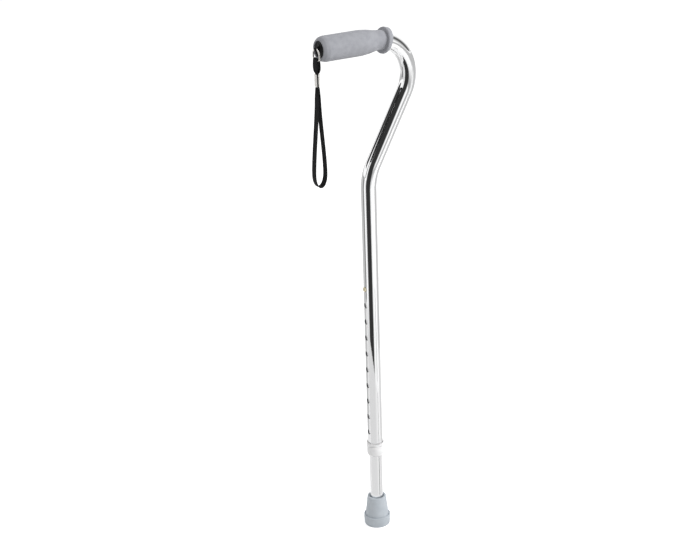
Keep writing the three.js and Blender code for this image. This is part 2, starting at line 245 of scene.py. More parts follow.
def strap_route():
    """The strap's middle line from the bar's right side, round the hand loop, to its left side."""
    wide = LOOP_HALF_WIDTH
    gathered = GATHERED_THICK / 2

    def at(x, z):
        return RING_BAR + Vector((x, 0, z))

    half = [at(BAR_LOOP_R, 0)]
    half += bezier(half[-1], at(0.0031, -0.008), at(0.0030, -0.0145), at(gathered, -CRIMP_TOP), 12)
    half += [at(gathered, -CRIMP_TOP - (CRIMP_FOOT - CRIMP_TOP) * k / 6) for k in range(1, 7)]
    half += bezier(half[-1], at(0.0014, -0.082), at(wide, -0.130), at(wide, 0.019 - LOOP_DROP), 48)
    foot = at(0, -LOOP_DROP)
    half += bezier(half[-1], at(wide, 0.0076 - LOOP_DROP), at(0.0049, -LOOP_DROP), foot, 16)
    mirrored = [Vector((2 * RING_BAR.x - p.x, 0, p.z)) for p in reversed(half[:-1])]
    return [swayed(p) for p in half + mirrored]


def swayed(point):
    """The point shifted towards -X by its share of the hand loop's sway."""
    below_crimp = RING_BAR.z - CRIMP_FOOT - point.z
    share = max(0, below_crimp) / (LOOP_DROP - CRIMP_FOOT)
    return point - X_AXIS * LOOP_SWAY * share


def gather_share(point):
    """How far the webbing is gathered at a point of its route: 1 in the crimp, 0 where flat."""
    drop = RING_BAR.z - point.z
    above = CRIMP_TOP - drop
    away = max(0, above, drop - CRIMP_FOOT)
    sprung = max(0, 1 - away / OPENING)
    eased = max(0, 1 - away / (FLAT_ABOVE if above > 0 else FLAT_BELOW))
    smooth = eased * eased * (3 - 2 * eased)
    return SPRUNG_SHARE * sprung * sprung + (1 - SPRUNG_SHARE) * smooth


def webbing_section(share, columns=24):
    """The webbing's section, pleated lengthwise as far as it is gathered."""
    width = STRAP_WIDTH + (GATHERED_WIDTH - STRAP_WIDTH) * share
    thick = STRAP_THICK + (GATHERED_THICK - STRAP_THICK) * share
    pleat = PLEAT_DEPTH * math.sin(math.pi * share)
    edge = thick / 2
    middle = [edge - width / 2 + (width - thick) * k / columns for k in range(columns + 1)]
    faces = []
    for side, run in ((1, middle), (-1, middle[::-1])):
        for u in run:
            wave = pleat * math.cos(PLEATS * TURN * u / width)
            dip = MIDDLE_DIP * thick * (1 + math.cos(TURN * u / width)) / 2
            faces.append((u, wave + side * (edge - dip)))
        turn = [math.pi * k / 6 for k in range(1, 6)]
        end = run[-1]
        wave = pleat * math.cos(PLEATS * TURN * end / width)
        faces += [(end + side * edge * math.sin(a), wave + side * edge * math.cos(a)) for a in turn]
    return faces


def write_cloth_coordinates(obj, path, section_size):
    """Stores (across, along) on the webbing, for its weave."""
    along = [0.0]
    for before, after in zip(path, path[1:]):
        along.append(along[-1] + (after - before).length)
    attribute = obj.data.attributes.new("cloth", "FLOAT_VECTOR", "POINT")
    for i, vertex in enumerate(obj.data.vertices):
        attribute.data[i].vector = (vertex.co.y, along[i // section_size], 0)


def build_wrist_strap():
    """One closed band of webbing: over the ring's bar, through the crimp, and round the hand."""
    route = strap_route()
    over_bar = arc(RING_BAR, BAR_LOOP_R, math.pi, 0, 16)[1:-1]
    path = route + over_bar
    sections = [webbing_section(gather_share(p)) for p in path]
    strap = swept("wrist_strap_webbing", path, Y_AXIS, sections.__getitem__, closed=True)
    write_cloth_coordinates(strap, path, len(sections[0]))
    return strap, route


# --- Centreline of the bent upper tube ----------------------------------------------------------

TUBE_R = half_width("upper_tube")
TUBE_WALL = 0.0012
TUBE_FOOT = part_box("upper_tube")[0].z
LOWER_BEND_Z = 0.534
LOWER_BEND_R = 0.073
LEAN = math.radians(29.7)
LEAN_RUN = 0.106
UPPER_BEND_R = 0.0542
GRIP_ANGLE = math.radians(87.6)  # between the grip and the upright
UPPER_TURN = GRIP_ANGLE + LEAN
GRIP_RUN = 0.0868
RUNS = (
    (LOWER_BEND_Z - TUBE_FOOT, 0),
    (LOWER_BEND_R * LEAN, LEAN),
    (LEAN_RUN, 0),
    (UPPER_BEND_R * UPPER_TURN, -UPPER_TURN),
    (GRIP_RUN, 0),
)
TUBE_LENGTH = sum(length for length, _ in RUNS)
BEND_STEP = math.radians(2)


def centreline(distance):
    """The point at a distance from the tube's foot, and the direction to its +X side."""
    point = Vector((0, 0, TUBE_FOOT))
    heading = 0
    for i, (length, turn) in enumerate(RUNS):
        step = distance if i == len(RUNS) - 1 else min(distance, length)
        if turn:
            bend = turn / length
            ahead = heading + bend * step
            point.x += (math.cos(heading) - math.cos(ahead)) / bend
            point.z += (math.sin(ahead) - math.sin(heading)) / bend
            heading = ahead
        else:
            point += Vector((math.sin(heading), 0, math.cos(heading))) * step
        distance -= step
    return point, Vector((math.cos(heading), 0, -math.sin(heading)))


def behind_free_end(radius, back, angle):
    """A point round the tube, where back is the distance from its free end. Angle 0 is on the
    side that faces -X on the shaft."""
    point, side = centreline(TUBE_LENGTH - back)
    return point - side * (radius * math.cos(angle)) + Y_AXIS * (radius * math.sin(angle))


def bent(point):
    """Where a point of the straight tube is when the tube is bent."""
    middle, side = centreline(point.z - TUBE_FOOT)
    return middle + side * point.x + Y_AXIS * point.y


# --- Tubes with holes ---------------------------------------------------------------------------

HOLE_R = 0.0037
HOLE_PITCH = 0.0254
HOLE_COUNT = 10
TOP_HOLE_Z = 0.3851
HOLE_LIP = 0.00025  # rounding of a hole's edge
LIP_MIDDLE = 0.3 * HOLE_LIP  # how far in from both faces the rounding's middle lies
END_ROUNDING = 0.0002
WINDOW_COLUMNS = 16  # columns of the tube's wall that the patch round a hole spans
WINDOW_HALF = 0.0056
WINDOW_RINGS = (0.4, 0.7, 0.9)  # shares of the way from the patch's border to the hole


def hole_ring(bm, radius, hole_z, hole_r):
    """The ring where a hole along X meets a cylinder, from its lower left corner round."""
    ring = []
    count = 4 * WINDOW_COLUMNS
    for k in range(count):
        angle = TURN * k / count - 0.75 * math.pi
        y = hole_r * math.cos(angle)
        z = hole_z + hole_r * math.sin(angle)
        ring.append(bm.verts.new(upright(radius, z, math.asin(y / radius))))
    return ring


def window(bm, radius, low, high, edges, hole_z, hole_r):
    """The patch of wall round a hole, between the rings low and high. Returns the hole's ring."""
    half = WINDOW_COLUMNS // 2
    left, right = edges
    border = [low[k] for k in range(-half, half)]
    border += right
    border += [high[k] for k in range(half, -half - 1, -1)]
    border += left[:0:-1]
    rim = hole_ring(bm, radius, hole_z, hole_r)
    before = border
    for share in WINDOW_RINGS:
        ring = []
        for outside, inside in zip(border, rim):
            point = outside.co.lerp(inside.co, share)
            angle = math.asin(point.y / radius)
            ring.append(bm.verts.new(upright(radius, point.z, angle)))
        bridge(bm, before, ring)
        before = ring
    bridge(bm, before, rim)
    return rim


def pierced_band(bm, radius, low, high, hole_z, hole_r):
    """The wall between two rings, with one hole in it. Returns the hole's ring."""
    half = WINDOW_COLUMNS // 2
    edges = []
    for column in (-half, half):
        bottom, top = low[column].co.z, high[column].co.z
        angle = TURN * column / SIDES
        steps = [bottom + (top - bottom) * k / WINDOW_COLUMNS for k in range(1, WINDOW_COLUMNS)]
        edges.append([low[column]] + [bm.verts.new(upright(radius, z, angle)) for z in steps])
    for k in range(half + 1, SIDES - half - 1):
        bm.faces.new((low[k], low[k + 1], high[k + 1], high[k]))
    left, right = edges
    bm.faces.new([low[half], low[half + 1], high[half + 1], high[half], *right[:0:-1]])
    bm.faces.new([low[-half - 1], *left, high[-half], high[-half - 1]])
    return window(bm, radius, low, high, edges, hole_z, hole_r)


def wall_skin(bm, radius, stations, holes, hole_r):
    """One face of a tube's wall. Returns its end rings and the rings of its holes."""
    rings = [circle(bm, upright, radius, s) for s in stations]
    rims = []
    for ring, following in zip(rings, rings[1:]):
        bottom, top = ring[0].co.z, following[0].co.z
        hole_z = next((z for z in holes if bottom < z < top), None)
        if hole_z is None:
            bridge(bm, ring, following)
        else:
            rims.append(pierced_band(bm, radius, ring, following, hole_z, hole_r))
    return rings[0], rings[-1], rims


def pierced_tube(name, radius, stations, holes, hole_r):
    """A straight tube with open, rounded ends and round holes along X through its -X side."""
    bm = bmesh.new()
    bore = radius - TUBE_WALL
    inset = [stations[0] + END_ROUNDING, *stations[1:-1], stations[-1] - END_ROUNDING]
    outer = wall_skin(bm, radius, inset, holes, hole_r + HOLE_LIP)
    inner = wall_skin(bm, bore, inset, holes, hole_r)
    for i, station in ((0, stations[0]), (1, stations[-1])):
        outer_end = circle(bm, upright, radius - END_ROUNDING, station)
        inner_end = circle(bm, upright, bore + END_ROUNDING, station)
        bridge(bm, outer[i], outer_end)
        bridge(bm, outer_end, inner_end)
        bridge(bm, inner_end, inner[i])
    for hole_z, rim, inner_rim in zip(holes, outer[2], inner[2]):
        middle = hole_ring(bm, radius - LIP_MIDDLE, hole_z, hole_r + LIP_MIDDLE)
        throat = hole_ring(bm, radius - HOLE_LIP, hole_z, hole_r)
        bridge(bm, rim, middle)
        bridge(bm, middle, throat)
        bridge(bm, throat, inner_rim)
    tube = to_object(name, bm)
    write_tube_coordinates(tube, radius)
    return tube


def write_tube_coordinates(obj, radius):
    """Stores each point's place in the straight tube, and which points are in its bore."""
    place = obj.data.attributes.new("unbent", "FLOAT_VECTOR", "POINT")
    bore = obj.data.attributes.new("bore", "FLOAT", "POINT")
    for i, vertex in enumerate(obj.data.vertices):
        place.data[i].vector = vertex.co
        inside = math.hypot(vertex.co.x, vertex.co.y) < radius - 0.6 * TUBE_WALL
        bore.data[i].value = 1.0 if inside else 0.0


def build_upper_tube():
    holes = sorted(TOP_HOLE_Z - HOLE_PITCH * i for i in range(HOLE_COUNT))
    stations = [TUBE_FOOT]
    for hole_z in holes:
        stations += [hole_z - WINDOW_HALF, hole_z + WINDOW_HALF]
    start = TUBE_FOOT
    for length, turn in RUNS:
        steps = max(1, round(abs(turn) / BEND_STEP))
        stations += [start + length * k / steps for k in range(1, steps + 1)]
        start += length
    tube = pierced_tube("upper_tube_wall", TUBE_R, stations, holes, HOLE_R)
    for vertex in tube.data.vertices:
        vertex.co = bent(vertex.co)
    return tube


LEG_R = half_width("lower_tube")
BUTTON_R = 0.0032
BUTTON_FLANGE_R = 0.0045
BUTTON_FLANGE = 0.001


def build_lower_tube():
    low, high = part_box("lower_tube")
    stations = [low.z, TOP_HOLE_Z - WINDOW_HALF, TOP_HOLE_Z + WINDOW_HALF, high.z]
    hole_r = BUTTON_R + CLEARANCE
    return pierced_tube("lower_tube_wall", LEG_R, stations, [TOP_HOLE_Z], hole_r)


# --- Grip and end cap ---------------------------------------------------------------------------

GRIP_BORE_R = 0.0116
GRIP_R = 0.0175
FLANGE_R = 0.0182
FLANGE_FRONT = 0.0967
FLANGE_BACK = 0.1031
GROOVE_R = 0.0134
GRIP_OVERHANG = 0.0036  # how far the foam reaches past the tube's free end


def build_foam_grip():
    """Foam sleeve: rounded free end, tapered waist, and a hand stop with soft edges."""
    bore = [(GRIP_BORE_R, back, 0) for back in (FLANGE_BACK, 0.098, 0.092, GRIP_RUN)]
    corners = [
        *bore,
        (GRIP_BORE_R, -GRIP_OVERHANG, 0.0007),
        (0.0138, -GRIP_OVERHANG, 0.0012),
        (0.0163, -0.0002, 0.0030),
        (GRIP_R, 0.0045, 0.0080),
        (GRIP_R, 0.030, 0),
        (GRIP_R, 0.061, 0.050),
        (0.0162, 0.0735, 0.040),
        (0.0141, 0.0835, 0.030),
        (GROOVE_R, 0.0925, 0.010),
        (GROOVE_R, FLANGE_FRONT, 0.0008),
        (FLANGE_R, FLANGE_FRONT, 0.0018),
        (FLANGE_R, FLANGE_BACK, 0.0018),
    ]
    return turned("foam_grip_sleeve", corners, behind_free_end, sides=128, steps=8)


CAP_R = 0.011
CAP_HEAD = 0.0026
CAP_PLUG = 0.014
EYE = Vector((-0.0768, 0, 0.7487))
EYE_R = 0.0015
LUG_R = 0.0030
LUG_THICK = 0.0024
LUG_ROOT = 0.0054  # from the eye to the tongue's root, which is inside the cap
LUG_SHOULDER = 0.0006  # how much wider the tongue is at its root, on each side
LUG_EDGE = 0.0004
CUTTER_END = 0.003  # past the lug's faces on both sides


def lug_plate():
    """The lug's rounded tongue, with its edges broken."""
    root = EYE.x + LUG_ROOT
    outline = [Vector((root, 0, EYE.z + LUG_R + LUG_SHOULDER))]
    outline += arc(EYE, LUG_R, math.pi / 2, 1.5 * math.pi, 24)
    outline.append(Vector((root, 0, EYE.z - LUG_R - LUG_SHOULDER)))
    bm = bmesh.new()
    face = bm.faces.new([bm.verts.new(p - Y_AXIS * LUG_THICK / 2) for p in outline])
    grown = bmesh.ops.extrude_face_region(bm, geom=[face])
    moved = [v for v in grown["geom"] if isinstance(v, bmesh.types.BMVert)]
    bmesh.ops.translate(bm, verts=moved, vec=Y_AXIS * LUG_THICK)
    rims = [e for e in bm.edges if abs(e.verts[0].co.y - e.verts[1].co.y) < 1e-9]
    bmesh.ops.bevel(bm, geom=rims, offset=LUG_EDGE, segments=3, profile=0.5, affect="EDGES")
    return to_object("lug", bm)


def eye_cutter():
    """What is cut out for the eye: a rod along Y that flares at the lug's faces."""
    def along_y(radius, y, angle):
        return EYE + Vector((radius * math.cos(angle), y, radius * math.sin(angle)))

    throat = LUG_THICK / 2 - LUG_EDGE
    mouth = LUG_THICK / 2 + 0.00005
    half = [
        (EYE_R, throat, 0.0006),
        (EYE_R + LUG_EDGE, mouth, 0),
        (EYE_R + 0.0019, CUTTER_END, 0),
        (0, CUTTER_END, 0),
    ]
    corners = [(radius, -y, rounding) for radius, y, rounding in reversed(half)] + half
    return turned("eye", corners, along_y, sides=48)


def build_end_cap():
    """Moulded cap: plug, head with a raised rim, and a lug for the strap's ring."""
    face = -CLEARANCE - CAP_HEAD
    plug_r = TUBE_R - TUBE_WALL - CLEARANCE
    corners = [
        (0, face + 0.0002, 0),
        (0.0082, face + 0.0004, 0.0005),
        (0.0088, face + 0.0004, 0.0003),
        (0.0092, face, 0.0003),
        (CAP_R, face + 0.0002, 0.0007),
        (CAP_R, -CLEARANCE, 0.0002),
        (plug_r, -CLEARANCE, 0),
        (plug_r, CAP_PLUG - 0.0010, 0.0004),
        (plug_r - 0.0008, CAP_PLUG, 0.0004),
        (0, CAP_PLUG, 0),
    ]
    cap = turned("end_cap_moulding", corners, behind_free_end)
    lug = combined(lug_plate(), eye_cutter(), "DIFFERENCE")
    return combined(cap, lug, "UNION")


# --- Strap hardware -----------------------------------------------------------------------------

RING_HALF_WIDTH = 0.00745
RING_CORNER_R = 0.003
RING_HEIGHT = EYE.z - RING_BAR.z
WIRE_SIDES = 20


def build_strap_ring():
    """D shaped ring of round wire: an arch in the cap's eye, and a bar for the webbing."""
    half = RING_HALF_WIDTH
    arch_r = 0.999 * half  # so that the arch's two roundings don't quite meet
    corners = [
        (half, 0, RING_CORNER_R),
        (half, RING_HEIGHT, arch_r),
        (-half, RING_HEIGHT, arch_r),
        (-half, 0, RING_CORNER_R),
    ]
    path = [RING_BAR + Vector((0, p.x, p.y)) for p in rounded(corners, 20)]
    wire = [TURN * k / WIRE_SIDES for k in range(WIRE_SIDES)]
    section = [(RING_WIRE_R * math.cos(a), RING_WIRE_R * math.sin(a)) for a in wire]
    return swept("strap_ring_wire", path, X_AXIS, lambda i: section, closed=True)


CRIMP_WALL = 0.0008
CRIMP_STEP = 0.00022  # between the points of its outline
CRIMP_ROWS = 84
DOT_PITCH = 0.0015
DOT_R = 0.32 * DOT_PITCH
DOT_HEIGHT = 0.00022
DOTS_FROM_END = 0.001


def crimp_outline():
    """The folded sheet seen from above: open on its -Y side, beside the -X plate."""
    in_x = GATHERED_THICK + CLEARANCE
    in_y = GATHERED_WIDTH / 2 + CLEARANCE
    out_x = in_x + CRIMP_WALL
    out_y = in_y + CRIMP_WALL
    edge = 0.0003
    corners = [
        (-out_x, -out_y, edge),
        (-in_x, -out_y, edge),
        (-in_x, in_y, 0.0004),
        (in_x, in_y, 0.0004),
        (in_x, -in_y, 0.0004),
        (0, -in_y, edge),
        (0, -out_y, edge),
        (out_x, -out_y, 0.0012),
        (out_x, out_y, 0.0012),
        (-out_x, out_y, 0.0012),
    ]
    return rounded(corners, 6)


def evenly_spaced(outline, step):
    """A closed outline with points added, so that none are further apart than step."""
    points = []
    for before, after in zip(outline, outline[1:] + outline[:1]):
        count = max(1, math.ceil((after - before).length / step))
        points += [before.lerp(after, k / count) for k in range(count)]
    return points


def dot_height(across, up):
    """How far a point of the sheet stands out, where dots are pressed in rows and columns."""
    from_column = (across / DOT_PITCH + 0.5) % 1 - 0.5
    from_row = (up / DOT_PITCH + 0.5) % 1 - 0.5
    distance = math.hypot(from_column, from_row) * DOT_PITCH / DOT_R
    return DOT_HEIGHT * max(0, 1 - distance * distance)


def build_strap_crimp():
    """Folded sheet metal, with dots pressed out of its -X plate."""
    outline = evenly_spaced(crimp_outline(), CRIMP_STEP)
    low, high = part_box("strap_crimp")
    plate_x = min(p.x for p in outline)
    bm = bmesh.new()
    rings = []
    for i in range(CRIMP_ROWS + 1):
        z = low.z + (high.z - low.z) * i / CRIMP_ROWS
        near_end = min(z - low.z, high.z - z)
        ring = []
        for p in outline:
            x, y = p
            if x < plate_x + 1e-5 and near_end > DOTS_FROM_END:
                x -= dot_height(y, z - low.z)
            ring.append(bm.verts.new((RING_BAR.x + x, y, z)))
        rings.append(ring)
    for ring, following in zip(rings, rings[1:]):
        bridge(bm, ring, following)
    bm.faces.new(rings[0])
    bm.faces.new(rings[-1])
    return to_object("strap_crimp_sheet", bm)


# --- Snap button and leaf spring ----------------------------------------------------------------


def build_snap_button():
    """Domed button, with a flange that keeps it in the leg."""
    low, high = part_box("snap_button")
    flange = high.x - BUTTON_FLANGE

    def along_x(radius, x, angle):
        turn = Vector((0, math.sin(angle), math.cos(angle)))
        return Vector((x, 0, TOP_HOLE_Z)) + turn * radius

    corners = [
        (0, low.x, 0),
        (BUTTON_R, low.x + 0.0001, 0.0021),
        (BUTTON_R, flange, 0.0002),
        (BUTTON_FLANGE_R, flange, 0.0002),
        (BUTTON_FLANGE_R, high.x, 0.0002),
        (0, high.x, 0),
    ]
    return turned("snap_button_dome", corners, along_x, sides=64, steps=10)


SPRING_THICK = 0.0006
SPRING_WIDTH = 0.006
SPRING_BEND_R = 0.0023  # of the leaf's middle
SPRING_BEND_X = 0.0016
SPRING_STEPS = 24  # of each arm, and of the bend


def evenly_between(start, end, steps):
    """Points on a straight line, without its ends."""
    return [start.lerp(end, k / steps) for k in range(1, steps)]


def build_button_spring():
    """Hairpin leaf: one arm backs the button, and the other bears on the leg's far wall."""
    low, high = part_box("button_spring")
    half = SPRING_THICK / 2
    centre = Vector((SPRING_BEND_X, 0, low.z + SPRING_BEND_R + half))
    bend = arc(centre, SPRING_BEND_R, math.pi, TURN, SPRING_STEPS)
    button_arm = Vector((low.x + half, 0, high.z))
    wall_arm = Vector((high.x - half, 0, high.z))
    path = [button_arm, *evenly_between(button_arm, bend[0], SPRING_STEPS)]
    path += bend
    path += [*evenly_between(bend[-1], wall_arm, SPRING_STEPS), wall_arm]
    edge = SPRING_WIDTH / 2
    square = ((-edge, -half), (edge, -half), (edge, half), (-edge, half))
    section = rounded([(u, v, 0.0002) for u, v in square], 3)
    return swept("button_spring_leaf", path, Y_AXIS, lambda i: section)


def bend_with_button(spring):
    """Bakes the spring's placement into its mesh; its near arm is not moved with the button."""
    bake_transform(spring)


# --- Collar -------------------------------------------------------------------------------------

COLLAR_R = half_width("collar_bush")
LEG_CLEARANCE = 0.00035
BUSH_BORE_R = LEG_R + LEG_CLEARANCE
BUSH_THREAD_R = 0.011
BUSH_SHOULDER = 0.1334
BUSH_SEAT = 0.1346
SLIT_WIDTH = 0.0012
SLIT_TOP = 0.130


def build_collar_bush():
    """Nylon bush: a socket over the tube's foot, and fingers that close on the leg."""
    low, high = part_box("collar_bush")
    foot = low.z
    top = high.z
    socket_r = TUBE_R + CLEARANCE
    corners = [
        (BUSH_BORE_R, foot, 0),
        (BUSH_THREAD_R - 0.0005, foot, 0.0002),
        (BUSH_THREAD_R, foot + 0.001, 0.0004),
        (BUSH_THREAD_R, BUSH_SHOULDER, 0),
        (COLLAR_R, BUSH_SHOULDER, 0.0008),
        (COLLAR_R, top, 0.0003),
        (socket_r + 0.0008, top, 0.0002),
        (socket_r + 0.0006, top - 0.0022, 0.0003),
        (socket_r, top - 0.0026, 0),
        (socket_r, BUSH_SEAT, 0),
        (BUSH_BORE_R, BUSH_SEAT, 0),
    ]
    bush = turned("collar_bush_moulding", corners)
    for turn in (0, math.pi / 2):
        bush = combined(bush, slit_cutter(foot, turn), "DIFFERENCE")
    return bush


def slit_cutter(foot, turn):
    """A thin upright slab across the bush, from under its foot to the slits' tops."""
    size = Vector((3 * COLLAR_R, SLIT_WIDTH, SLIT_TOP - foot + 0.001))
    bm = bmesh.new()
    bmesh.ops.create_cube(bm, size=1)
    bmesh.ops.scale(bm, vec=size, verts=bm.verts)
    bmesh.ops.translate(bm, vec=Vector((0, 0, SLIT_TOP - size.z / 2)), verts=bm.verts)
    bmesh.ops.rotate(bm, matrix=Matrix.Rotation(turn, 3, "Z"), verts=bm.verts)
    return to_object("slit", bm)


def build_lock_ring():
    """Nylon nut on the bush's thread, waisted towards its foot."""
    low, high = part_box("lock_ring")
    foot = low.z
    top = high.z
    thread_bore = BUSH_THREAD_R + CLEARANCE
    lip_bore = LEG_R + 2 * LEG_CLEARANCE
    lip = foot + 0.0014
    corners = [
        (lip_bore, foot, 0.0002),
        (COLLAR_R - 0.0015, foot, 0.0006),
        (COLLAR_R - 0.0004, foot + 0.0018, 0.0020),
        (COLLAR_R, foot + 0.0050, 0.0100),
        (COLLAR_R, top, 0.0009),
        (thread_bore, top, 0.0002),
        (thread_bore, lip, 0.0002),
        (lip_bore, lip, 0.0002),
    ]
    return turned("lock_ring_moulding", corners)


# --- Rubber tip ---------------------------------------------------------------------------------

TIP_BAND_R = 0.0194
TIP_BORE_R = LEG_R + LEG_CLEARANCE
TIP_BORE_FLOOR = 0.0078
SOLE_GROOVES = (0.0045, 0.0085, 0.0125)  # inner radii of the rings cut in the sole
GROOVE_WIDTH = 0.0014
GROOVE_DEPTH = 0.0011


def build_rubber_tip():
    """Ferrule: a wide band with a grooved sole, a tapered neck, and a rolled rim."""
    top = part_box("rubber_tip")[1].z
    corners = [(0, 0, 0)]
    for inner in SOLE_GROOVES:
        outer = inner + GROOVE_WIDTH
        corners += [
            (inner, 0, 0.0002),
            (inner, GROOVE_DEPTH, 0.0002),
            (outer, GROOVE_DEPTH, 0.0002),
            (outer, 0, 0.0002),
        ]
    corners += [
        (0.0186, 0, 0.0010),
        (TIP_BAND_R, 0.0110, 0.020),
        (TIP_BAND_R, 0.0157, 0.0008),
        (0.0180, 0.0157, 0.0005),
        (0.0176, 0.0149, 0.0003),
        (0.0172, 0.0149, 0.0003),
        (0.0169, 0.0190, 0.004),
        (0.01435, 0.0395, 0),
        (0.01460, 0.0399, 0.0003),
        (0.01450, 0.0410, 0.0003),
        (0.01420, 0.0413, 0.0002),
        (0.01400, 0.0430, 0.004),
        (0.01370, top, 0.0012),
        (0.0109, top, 0.0009),
        (TIP_BORE_R, top - 0.0012, 0.0005),
        (TIP_BORE_R, TIP_BORE_FLOOR, 0),
        (0, TIP_BORE_FLOOR, 0),
    ]
    return turned("rubber_tip_ferrule", corners, sides=128)


def build_tip_washer():
    """Steel disc between the tip's bore and the leg's foot."""
    low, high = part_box("tip_washer")
    radius = half_width("tip_washer")
    corners = [
        (0, low.z, 0),
        (radius, low.z, 0.0003),
        (radius, high.z, 0.0003),
        (0, high.z, 0),
    ]
    return turned("tip_washer_disc", corners)


# --- Materials ----------------------------------------------------------------------------------


def add_node(tree, kind, inputs=None, **settings):
    """A node with its settings and inputs. An input is a value, or the socket it is linked to."""
    node = tree.nodes.new(kind)
    for name, value in settings.items():
        setattr(node, name, value)
    for name, value in (inputs or {}).items():
        if isinstance(value, bpy.types.NodeSocket):
            tree.links.new(value, node.inputs[name])
        else:
            node.inputs[name].default_value = value
    return node


def calculate(tree, operation, first, second=0.0):
    return add_node(tree, "ShaderNodeMath", {0: first, 1: second}, operation=operation).outputs[0]


def spread_over(tree, value, low, high):
    """The value, which runs from 0 to 1, rescaled to run from low to high."""
    inputs = {"Value": value, "To Min": low, "To Max": high}
    return add_node(tree, "ShaderNodeMapRange", inputs).outputs["Result"]


def colour_between(tree, value, stops):
    """A colour ramp with the given (place, colour) stops."""
    ramp = add_node(tree, "ShaderNodeValToRGB", {"Fac": value})
    elements = ramp.color_ramp.elements
    for element, (place, colour) in zip(elements, (stops[0], stops[-1])):
        element.position = place
        element.color = (*colour, 1)
    for place, colour in stops[1:-1]:
        elements.new(place).color = (*colour, 1)
    return ramp.outputs["Color"]


def noise_of(tree, vector, scale, detail=2.0, stretch=(1, 1, 1)):
    """Noise, stretched along an axis by giving that axis a small scale."""
    mapped = add_node(tree, "ShaderNodeMapping", {"Vector": vector, "Scale": stretch})
    inputs = {"Vector": mapped.outputs["Vector"], "Scale": scale, "Detail": detail}
    return add_node(tree, "ShaderNodeTexNoise", inputs).outputs["Fac"]


def bump(tree, height, strength, distance, normal=None):
    inputs = {"Height": height, "Strength": strength, "Distance": distance}
    if normal:
        inputs["Normal"] = normal
    return add_node(tree, "ShaderNodeBump", inputs).outputs["Normal"]


def new_material(name, **sockets):
    """A material, its node tree and its shader, with constant values set on the shader."""
    material = bpy.data.materials.new(name)
    material.use_nodes = True
    tree = material.node_tree
    shader = tree.nodes["Principled BSDF"]
    for socket, value in sockets.items():
        shader.inputs[socket.replace("_", " ")].default_value = value
    return material, tree, shader


def feed(tree, shader, **sockets):
    for socket, output in sockets.items():
        tree.links.new(output, shader.inputs[socket.replace("_", " ")])


def object_coordinates(tree):
    return add_node(tree, "ShaderNodeTexCoord").outputs["Object"]


def stored_coordinates(tree, name):
    return add_node(tree, "ShaderNodeAttribute", attribute_name=name).outputs["Vector"]


def in_bore(tree, outside, inside):
    """One colour or value on the tube's outer skin and another in its bore, whose colour is painted
    shade.
    """
    bore = add_node(tree, "ShaderNodeAttribute", attribute_name="bore").outputs["Fac"]
    mix = add_node(tree, "ShaderNodeMix", {0: bore, 6: outside, 7: inside}, data_type="RGBA")
    return mix.outputs[2]


def polished_aluminium():
    """Bright tube: a near mirror, with faint lines drawn along it and a few hazy patches. Its
    bore is rough and unpolished, and its colour there is painted near black as painted shade."""
    material, tree, shader = new_material("polished_aluminium", Metallic=1.0)
    place = stored_coordinates(tree, "unbent")
    lines = noise_of(tree, place, 2600, 2.0, (1, 1, 0.01))
    haze = noise_of(tree, place, 55, 3.0, (1, 1, 0.25))
    scuffs = noise_of(tree, place, 700, 4.0, (1, 1, 0.06))
    tint = colour_between(tree, haze, [(0.35, (0.90, 0.905, 0.915)), (0.7, (0.93, 0.93, 0.93))])
    worn = calculate(tree, "MULTIPLY", calculate(tree, "POWER", scuffs, 3.0), haze)
    feed(
        tree,
        shader,
        # The bore's near-black colour is painted shade in the tube's hollow; its higher roughness
        # is its own unpolished finish.
        Base_Color=in_bore(tree, tint, (0.16, 0.16, 0.165, 1)),
        Roughness=in_bore(tree, spread_over(tree, worn, 0.05, 0.26), (0.7, 0.7, 0.7, 1)),
        Normal=bump(tree, lines, 0.05, 0.00005),
    )
    return material


def grip_foam():
    """Closed-cell foam: matt and finely pitted, its grey varying in a random cloud, with painted
    shade darkening its pits.
    """
    material, tree, shader = new_material(
        "grip_foam", Roughness=0.9, Specular_IOR_Level=0.25, Sheen_Weight=0.08, Sheen_Roughness=0.6
    )
    place = object_coordinates(tree)
    cells = add_node(tree, "ShaderNodeTexVoronoi", {"Vector": place, "Scale": 1400.0})
    pores = noise_of(tree, place, 2400, 3.0)
    cloud = noise_of(tree, place, 130, 3.0)
    # Half a random cloud and half the pores' height: the pits are painted darker, as painted shade.
    shade = calculate(tree, "MULTIPLY", calculate(tree, "ADD", pores, cloud), 0.5)
    greys = [(0.32, (0.26, 0.265, 0.29)), (0.5, (0.31, 0.315, 0.34)), (0.68, (0.35, 0.355, 0.38))]
    pitted = bump(tree, pores, 0.35, 0.0003)
    feed(
        tree,
        shader,
        Base_Color=colour_between(tree, shade, greys),
        Normal=bump(tree, cells.outputs["Distance"], 0.35, 0.0003, pitted),
    )
    return material


def moulded_rubber(name, dark, light, grain, roughness, specular):
    """Moulded rubber: fine spark-eroded grain, and a bloom that clouds its colour and gloss."""
    material, tree, shader = new_material(name, Specular_IOR_Level=specular)
    place = object_coordinates(tree)
    cloud = noise_of(tree, place, 90, 4.0)
    fine = noise_of(tree, place, grain, 2.0)
    colour = colour_between(tree, cloud, [(0.3, dark), (0.7, light)])
    feed(
        tree,
        shader,
        Base_Color=colour,
        Roughness=spread_over(tree, cloud, roughness - 0.08, roughness + 0.08),
        Normal=bump(tree, fine, 0.2, 0.0001),
    )
    return material


def tip_rubber():
    dark = (0.42, 0.46, 0.50)
    light = (0.48, 0.515, 0.55)
    return moulded_rubber("tip_rubber", dark, light, 1600, 0.62, 0.4)


def cap_rubber():
    dark = (0.005, 0.005, 0.006)
    light = (0.010, 0.010, 0.011)
    return moulded_rubber("cap_rubber", dark, light, 1800, 0.42, 0.2)


